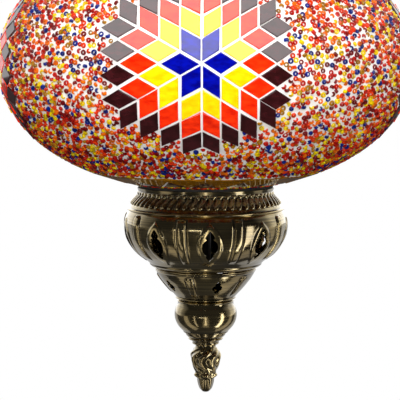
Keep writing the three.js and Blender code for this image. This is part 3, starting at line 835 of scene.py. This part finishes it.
def pierced_relief(kind):
    """Raised ribs midway between the holes, and a raised pointed oval round each hole."""
    period = 2 * math.pi / kind["holes"]
    first = math.radians(kind["first"])
    rib = math.radians(kind["rib"])
    rim_width, rim_height = kind["rim"]
    low, high = kind["span"]
    rib_rise, groove_depth, rim_rise = 1.25, 0.45, 0.8
    soft = math.radians(0.42)
    fade = 2.2

    def relief(azimuths, outline):
        radius, height = outline[:, :1], outline[:, 1:2]
        from_rib = np.abs(wrapped(azimuths - first - period / 2, period))
        raised = 1 - step_between(from_rib, rib - soft, rib + soft)
        raised = raised * (0.72 + 0.28 * np.sqrt(np.clip(1 - (from_rib / rib) ** 2, 0, 1)))
        groove = np.exp(-((from_rib - rib * 1.3) / (rib * 0.2)) ** 2)
        ends = step_between(height, low, low + fade) * (1 - step_between(height, high - fade, high))
        across = np.abs(wrapped(azimuths - first, period)) * radius
        reach = np.maximum(rim_width * (1 - ((height - kind["middle"]) / rim_height) ** 2), 1e-3)
        oval = 1 - step_between(across / reach, 0.86, 1.1)
        oval = oval * (np.abs(height - kind["middle"]) < rim_height)
        outside = np.arange(len(outline))[:, None] < np.argmax(outline[:, 1])
        return (rib_rise * raised * ends - groove_depth * groove * ends + rim_rise * oval) * outside

    return relief


def lantern_half(width, height):
    """Right half of a pierced lantern hole, from its top point to its foot: shoulders and a belly."""
    half = [(0, 1), (0.22, 0.88), (0.5, 0.68), (0.6, 0.54), (0.4, 0.43), (0.68, 0.34),
            (0.92, 0.16), (1, -0.08), (0.88, -0.32), (0.62, -0.5), (0.38, -0.58), (0.5, -0.68),
            (0.3, -0.84), (0, -1)]
    return [(x * width / 2, y * height / 2) for x, y in half]


def hole_cutters(kind, up):
    """One mesh of lantern-shaped prisms that point outwards from the axis."""
    near, far = kind["width"], HOLE_CUTTER_REACH
    right = lantern_half(kind["width"], kind["height"])
    outline = right + [(-x, y) for x, y in right[-2:0:-1]]
    n = len(outline)
    vertices, faces = [], []
    for k in range(kind["holes"]):
        azimuth = math.radians(kind["first"]) + 2 * math.pi * k / kind["holes"]
        out = Vector((math.sin(azimuth), -math.cos(azimuth), 0))
        across = Vector((math.cos(azimuth), math.sin(azimuth), 0))
        start = len(vertices)
        for distance in (near, far):
            for x, y in outline:
                spot = out * distance + across * x
                height = EQUATOR_Z + up * (kind["middle"] - y) * MM
                vertices.append((spot.x * MM, spot.y * MM, height))
        faces.append([start + c for c in range(n)])
        faces.append([start + n + c for c in reversed(range(n))])
        for c in range(n):
            after = (c + 1) % n
            faces.append([start + c, start + n + c, start + n + after, start + after])
    mesh = bpy.data.meshes.new("hole_cutters")
    mesh.from_pydata(vertices, [], faces)
    tidy_mesh(mesh)
    return mesh


def pierced_shell(node, outer, kind, up):
    """Ribbed stamping with a floor and a ring of holes cut right through its wall."""
    outline = shell_outline(outer, FLOOR_HOLE_RADIUS)
    azimuths = fine_columns(kind["holes"], kind["first"] + 180 / kind["holes"], kind["rib"])
    mesh = turned(node, outline, azimuths=azimuths, relief=pierced_relief(kind), z=EQUATOR_Z, up=up)
    brass_piece(node, cut(mesh, hole_cutters(kind, up)))


def brass_bowl(end, up):
    outer = outline_of([
        [(56.3, 106.4), (57.3, 108.2), (58.7, 111.6), (59.3, 116.2), (58.3, 124.4), (55.4, 131),
         (50.2, 137.7), (44.7, 142), (42.6, 143.8)],
        [(41.3, 145.0), (41.0, 146.2), (39.9, 147.2)],
        [(37.6, 147.6), (36.9, 148.4)],
    ], 5)
    pierced_shell(f"{end}_bowl", outer, BOWL, up)


def brass_cup(end, up):
    outer = outline_of([
        [(36.7, 148.7), (37.3, 149.3), (36.9, 150.1)],
        [(37.0, 150.8), (36.3, 151.5)],
        [(35.4, 153.2), (32.8, 157.4), (27.6, 163.9), (23.6, 168.1), (21.9, 170.1)],
        [(22.4, 170.9), (21.6, 171.7), (20.5, 172.2)],
    ], 5)
    pierced_shell(f"{end}_cup", outer, CUP, up)


def brass_ball(end, up):
    outer = outline_of([
        [(20.2, 172.7), (21.0, 173.5), (20.3, 174.4)],
        [(20.7, 176.1), (22.1, 179.0), (22.95, 183.4), (22.3, 188), (20.1, 192.3), (16.6, 196.2)],
        [(16.4, 196.9), (15.1, 197.2)],
        [(14.4, 199.1), (12.8, 200.8)],
    ], 6)
    outline = shell_outline(outer, FLOOR_HOLE_RADIUS)
    mesh = turned(f"{end}_ball", outline, columns=128, z=EQUATOR_Z, up=up)
    brass_piece(f"{end}_ball", mesh)


def finial_collar():
    outer = outline_of([
        [(12.5, 201.1), (12.9, 201.7), (12.3, 202.5)],
        [(10.7, 203.2), (9.8, 204.4), (9.9, 205.4), (9.3, 206.0)],
    ], 5)
    outline = np.vstack([[[4.3, 201.1]], outer, [[4.3, 206.0]]])
    mesh = turned("finial_collar_piece", outline, z=EQUATOR_Z, up=-1)
    brass_piece("finial_collar", mesh, "finial_seat")


def finial_relief(azimuths, outline):
    """Cast leaves: curling flutes round the bulb, a crown of leaf tips, then straight flutes."""
    curled, straight = 8, 5
    bulb_start, bulb_length = 208.4, 18.6
    crown_middle, crown_spread = 229.2, 1.7
    curled_depth, straight_depth = 0.62, 0.42
    height = outline[:, 1:2]
    along = np.clip((height - bulb_start) / bulb_length, 0, 1)
    curl = 0.9 * np.sin(along * math.pi * 1.05) + 0.5 * along
    flutes = curled_depth * np.cos(curled * (azimuths + curl))
    bulb = flutes * np.sin(along * math.pi) ** 0.6 * (height < bulb_start + bulb_length)
    tips = 0.3 + 0.9 * np.cos(straight * azimuths)
    crown = np.exp(-((height - crown_middle) / crown_spread) ** 2) * tips
    tail = straight_depth * np.cos(straight * azimuths + math.pi)
    tail = tail * step_between(height, 230.5, 232.5) * (1 - step_between(height, 239.5, 242.2))
    outside = np.arange(len(outline))[:, None] <= np.argmax(outline[:, 1])
    return (bulb + crown + tail) * outside


def finial():
    outer = outline_of([
        [(7.5, 206.5), (7.5, 207.3), (7.9, 208.3), (8.9, 209.9), (10.1, 212), (10.9, 214.4),
         (10.8, 217), (10.1, 220), (9.1, 223), (8.2, 225.6), (7.5, 227.4)],
        [(7.8, 228.6), (7.2, 230.4), (6.3, 232), (5.7, 235.6), (4.5, 239.2), (2.9, 241.4),
         (1.2, 242.1), (0, 242.2)],
    ], 6)
    outline = np.vstack([outer, [[0, 224.6], [4.3, 224.6], [4.3, 206.5]]])
    mesh = turned("finial_piece", outline, columns=216, relief=finial_relief, z=EQUATOR_Z, up=-1)
    brass_piece("finial", mesh, "finial")


# ---- hanging parts ----

def wire_loop(bend_radius, wire_radius, straight, middle, crosswise, around=16, steps=56):
    """Vertices and quads of a round wire bent into a ring, or an oval link if straight is not 0."""
    turn = (np.arange(steps) + 0.5) * 2 * math.pi / steps
    roll = np.arange(around) * 2 * math.pi / around
    radius = bend_radius + wire_radius * np.cos(roll)[:, None]
    x = radius * np.cos(turn)
    z = radius * np.sin(turn) + straight / 2 * np.sign(np.sin(turn))
    y = np.broadcast_to(wire_radius * np.sin(roll)[:, None], x.shape)
    points = np.stack([y, x, z] if crosswise else [x, y, z], -1)
    return points.reshape(-1, 3) + np.array(middle), grid_quads(around, steps)


def chain_link(number):
    """Oval link of round wire, in the size and place of its node, whose wire is six-sided."""
    node = f"chain_link_{number}"
    low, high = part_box(node)
    crosswise = number % 2 == 1
    between_flats = high.x - low.x if crosswise else high.y - low.y
    wire = between_flats / 2 / math.cos(math.pi / 6)
    width = high.y - low.y if crosswise else high.x - low.x
    bend = width / 2 - wire
    straight = (high.z - low.z) - width
    points, quads = wire_loop(bend, wire, straight, (low + high) / 2, crosswise)
    mesh = mesh_of_quads(node, points, quads)
    tidy_mesh(mesh)
    piece(f"brass_link_{number}", mesh, [BRASS], f"link_{number}", "brass", [node])


def looped(node, boss_outline, ring_z, body, base_z, bore=None):
    """A turned boss and a round ring that grows out of it, in one piece."""
    boss = turned(f"{node}_boss", boss_outline, z=base_z)
    points, quads = wire_loop(RING_BEND_RADIUS, RING_WIRE_RADIUS, straight=0, middle=(0, 0, ring_z),
                              crosswise=False, around=20, steps=64)
    ring = mesh_of_quads(f"{node}_ring", points, quads)
    tidy_mesh(ring)
    joined = bmesh.new()
    joined.from_mesh(boss)
    joined.from_mesh(ring)
    mesh = bpy.data.meshes.new(node)
    joined.to_mesh(mesh)
    joined.free()
    mesh.set_sharp_from_angle(angle=math.radians(40))
    if bore is not None:
        mesh = cut(mesh, bore, overlapping=True)
    brass_piece(node, mesh, body)


def lamp_loop():
    """Top loop: its ring stands on a boss, and the cable's wireway runs down through both."""
    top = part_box("lamp_loop")[1].z
    ring_z = top - RING_BEND_RADIUS - RING_WIRE_RADIUS
    outer = outline_of([
        [(12.5, 201.1), (12.9, 201.7), (12.3, 202.5)],
        [(10.4, 203.6), (9.7, 205.4), (8.1, 207), (7.3, 209), (7.4, 215.6), (6.6, 218.2)],
    ], 5)
    boss = np.vstack([[[0, 201.1]], outer, [[0, 218.4]]])
    bore, foot, head = 3.5, 200, 226
    wireway = turned("wireway_cut", [[0, foot], [bore, foot], [bore, head], [0, head]], columns=32,
                     z=EQUATOR_Z)
    looped("lamp_loop", boss, ring_z, "lamp", EQUATOR_Z, wireway)


def canopy_loop():
    """Ring under the canopy, on a boss that grows out of the canopy's lowest step."""
    low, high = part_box("canopy_loop")
    ring_z = low.z + RING_BEND_RADIUS + RING_WIRE_RADIUS
    top = high.z / MM
    outer = outline_of([
        [(12, top), (12.3, top - 2), (11.8, top - 4)],
        [(9.2, top - 6.4), (7.8, top - 9), (6.2, top - 11)],
    ], 5)
    boss = np.vstack([[[0, top]], outer, [[0, top - 11]]])
    looped("canopy_loop", boss, ring_z, "ceiling", 0.0)


def canopy():
    """Ceiling cup with a rolled rim, two turned steps and a bushed hole for the cable."""
    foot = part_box("canopy")[0].z / MM
    outer = outline_of([
        [(59.4, 0), (60.5, -1.2), (60.5, -2.6), (59.6, -3.6)],
        [(59.8, -6.2), (58.6, -10.6), (55.4, -17), (50, -24.4)],
        [(48.4, -25), (47.6, -26.6)],
        [(42.5, -31), (35.5, -35.6), (27, -39)],
        [(25.6, -39.4), (24.6, foot)],
    ], 6)
    inner = inset(outer * [1, -1])[::-3] * [1, -1]
    inner = inner[inner[:, 1] > foot + 1.3]
    inner[-1, 1] = 0
    stud_hole = 5.3
    floor = [[stud_hole, foot], [stud_hole, foot + BRASS_WALL]]
    mesh = turned("canopy_piece", np.vstack([outer, floor, inner]), columns=144)
    bush_low, bush_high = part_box("canopy_cord_bush")
    x = (bush_low.x + bush_high.x) / 2
    hole = turned("bush_cut", [[0, -50], [4.4, -50], [4.4, -30], [0, -30]], columns=32)
    hole.transform(Matrix.Translation((x, 0, 0)))
    brass_piece("canopy", cut(mesh, hole), "ceiling")
    low_z, high_z = bush_low.z / MM, bush_high.z / MM
    outline = [[3.2, low_z + 0.3], [3.6, low_z], [5.0, low_z], [5.4, low_z + 0.4], [5.4, low_z + 1.4],
               [4.1, low_z + 1.5], [4.1, high_z - 1.5], [5.4, high_z - 1.4], [5.4, high_z - 0.4],
               [5.0, high_z], [3.6, high_z], [3.2, high_z - 0.3]]
    bush = turned("bush_piece", outline, columns=48)
    bush.transform(Matrix.Translation((x, 0, 0)))
    piece("brass_cord_bush", bush, [BRASS], "ceiling", "brass", ["canopy_cord_bush"])


# ---- nodes that keep their CAD shape ----

def finish_nodes():
    rubber = soft_plain("seal_rubber", (0.012, 0.011, 0.010), (0.035, 0.032, 0.028), (0.6, 0.85))
    porcelain = soft_plain("porcelain", (0.72, 0.70, 0.64), (0.84, 0.82, 0.77), (0.16, 0.3))
    plastic = soft_plain("white_plastic", (0.70, 0.69, 0.65), (0.82, 0.81, 0.77), (0.38, 0.55))
    opal = soft_plain("opal_glass", (0.86, 0.83, 0.76), (0.95, 0.93, 0.88), (0.12, 0.22))
    of_slot = {"brass": BRASS, "steel": STEEL, "seal": rubber, "porcelain": porcelain,
               "white_plastic": plastic, "bulb_glass": opal}
    for part in frame["record"]["subparts"]:
        node = frame["nodes"][part["node"]]
        material = of_slot.get(part["material_slot"])
        if material is not None and not node.hide_render:
            node.data.materials.clear()
            node.data.materials.append(material)


# ---- stage, light and camera ----

def pale_floor():
    """Wide pale floor well below the lamp. It looks evenly lit, and throws back little light."""
    half_size, drop = 30.0, 2.4
    mesh = bpy.data.meshes.new("floor")
    z = cad_low.z - drop
    corners = [(x * half_size, y * half_size, z) for x, y in ((-1, -1), (1, -1), (1, 1), (-1, 1))]
    mesh.from_pydata(corners, [], [(0, 1, 2, 3)])
    material, tree, shader = blank_material("pale_floor")
    set_inputs(shader, Base_Color=(0.08, 0.08, 0.08, 1), Roughness=0.9)
    glow = tree.nodes.new("ShaderNodeEmission")
    set_inputs(glow, Strength=1.0)
    path = tree.nodes.new("ShaderNodeLightPath")
    mix = tree.nodes.new("ShaderNodeMixShader")
    tree.links.new(path.outputs["Is Camera Ray"], mix.inputs["Fac"])
    tree.links.new(shader.outputs["BSDF"], mix.inputs[1])
    tree.links.new(glow.outputs["Emission"], mix.inputs[2])
    tree.links.new(mix.outputs["Shader"], tree.nodes["Material Output"].inputs["Surface"])
    mesh.materials.append(material)
    added("floor", mesh)


def studio_world():
    """White behind the lamp and dim in front of it, and plain white to the camera itself."""
    world = bpy.data.worlds.new("studio")
    bpy.context.scene.world = world
    world.use_nodes = True
    tree = world.node_tree
    background = tree.nodes["Background"]
    place = tree.nodes.new("ShaderNodeTexCoord")
    split = tree.nodes.new("ShaderNodeSeparateXYZ")
    tree.links.new(place.outputs["Generated"], split.inputs["Vector"])
    depth = tree.nodes.new("ShaderNodeMapRange")
    set_inputs(depth, From_Min=-1)
    tree.links.new(split.outputs["Y"], depth.inputs["Value"])
    front_to_back = [(0.0, grey(0.05)), (0.42, grey(0.04)), (0.6, grey(0.4)), (0.68, grey(1.1))]
    room = ramp(tree, depth.outputs["Result"], front_to_back)
    path = tree.nodes.new("ShaderNodeLightPath")
    mix = tree.nodes.new("ShaderNodeMix")
    mix.data_type = "RGBA"
    set_inputs(mix, B=(1, 1, 1, 1))
    tree.links.new(path.outputs["Is Camera Ray"], mix.inputs["Factor"])
    tree.links.new(room, mix.inputs["A"])
    tree.links.new(mix.outputs["Result"], background.inputs["Color"])


def softbox(name, azimuth, elevation, distance, width, height, radiance, colour=(1, 1, 1), aim=None,
            lit=None):
    """Rectangular light, placed by the direction it is seen in from where it aims, the globe if
    nothing is given. With lit it only shows as a reflection on that group; without, it only
    lights diffusely."""
    a, e = math.radians(azimuth), math.radians(elevation)
    out = Vector((math.sin(a) * math.cos(e), -math.cos(a) * math.cos(e), math.sin(e)))
    target = Vector((0, 0, EQUATOR_Z)) if aim is None else aim
    data = bpy.data.lights.new(name, "AREA")
    data.shape = "RECTANGLE"
    data.size = width
    data.size_y = height
    data.energy = radiance * math.pi * width * height
    data.color = colour
    lamp = added(name, data)
    lamp.visible_camera = False
    lamp.visible_glossy = lit is not None
    lamp.visible_diffuse = lit is None
    if lit is not None:
        lamp.light_linking.receiver_collection = GROUPS[lit]
    lamp.location = target + out * distance
    lamp.rotation_mode = "QUATERNION"
    lamp.rotation_quaternion = (-out).to_track_quat("-Z", "Y")


def studio_lights():
    """Softboxes and panels that only reflect, then two soft fills. In each row: azimuth and
    elevation in degrees, distance, width, height and radiance."""
    stack = Vector((0, 0, EQUATOR_Z - 0.14))
    softbox("key_softbox", 0, 31, 1.6, 4.4, 1.25, 4.6, lit="tiles")
    softbox("top_softbox", 0, 68, 1.6, 4.4, 1.1, 4.6, lit="tiles")
    softbox("bead_key", -8, 34, 1.6, 0.42, 0.42, 34, lit="beads")
    softbox("bead_side", 48, 20, 1.6, 0.3, 0.5, 16, lit="beads")
    metal_panels = [
        ("front_card", 1, -34, 1.5, 0.5, 1.8, 0.32, (1.0, 0.93, 0.78)),
        ("front_strip", 0, -24, 1.45, 0.1, 1.5, 3.2, (1.0, 0.95, 0.85)),
        ("left_card", -78, -36, 1.5, 0.5, 2.0, 0.55, (1.0, 0.93, 0.8)),
        ("thin_strip", -42, -26, 1.5, 0.06, 1.8, 2.6, (1.0, 0.95, 0.86)),
        ("right_panel", 64, -24, 1.5, 0.3, 2.1, 4.4, (1, 1, 1)),
        ("right_card", 106, -36, 1.5, 0.5, 2.0, 0.5, (1.0, 0.93, 0.8)),
        ("left_rim", -152, -10, 1.5, 1.3, 2.6, 0.45, (1, 1, 1)),
        ("right_rim", 156, -10, 1.5, 1.2, 2.6, 0.45, (1, 1, 1)),
        ("left_strip", -14, -3, 1.4, 0.5, 0.035, 8.0, (1, 1, 1)),
    ]
    for row in metal_panels:
        softbox(*row, aim=stack, lit="metal")
    softbox("key_fill", 0, 34, 1.7, 3.0, 1.6, 4.2)
    softbox("low_fill", 0, -20, 1.7, 3.0, 1.3, 1.9)


def photo_camera():
    data = bpy.data.cameras.new("camera")
    data.sensor_width = 36
    data.lens = CAMERA_LENS
    camera = added("camera", data)
    pitch, yaw = math.radians(90 - CAMERA_DOWN), math.radians(CAMERA_LEFT)
    place = Matrix.Translation((0, -CAMERA_DISTANCE, EQUATOR_Z))
    turn = Matrix.Rotation(yaw, 4, "Z") @ Matrix.Rotation(pitch, 4, "X")
    camera.matrix_world = place @ turn
    data.clip_start = 0.05
    bpy.context.scene.camera = camera


# ---- assembly ----

photo_camera()
white_ground()
smooth_glass()
for side, degrees in MEDALLION_AZIMUTHS.items():
    medallion(side, degrees)
bead_field()
collar_band("top", 1)
collar_band("bottom", -1)
for end, up in (("lower", -1), ("upper", 1)):
    brass_gallery(end, up)
    brass_bowl(end, up)
    brass_cup(end, up)
    brass_ball(end, up)
finial_collar()
finial()
lamp_loop()
for number in range(1, 6):
    chain_link(number)
canopy_loop()
canopy()
finish_nodes()
pale_floor()
studio_world()
studio_lights()
bpy.context.scene.view_settings.view_transform = "Standard"
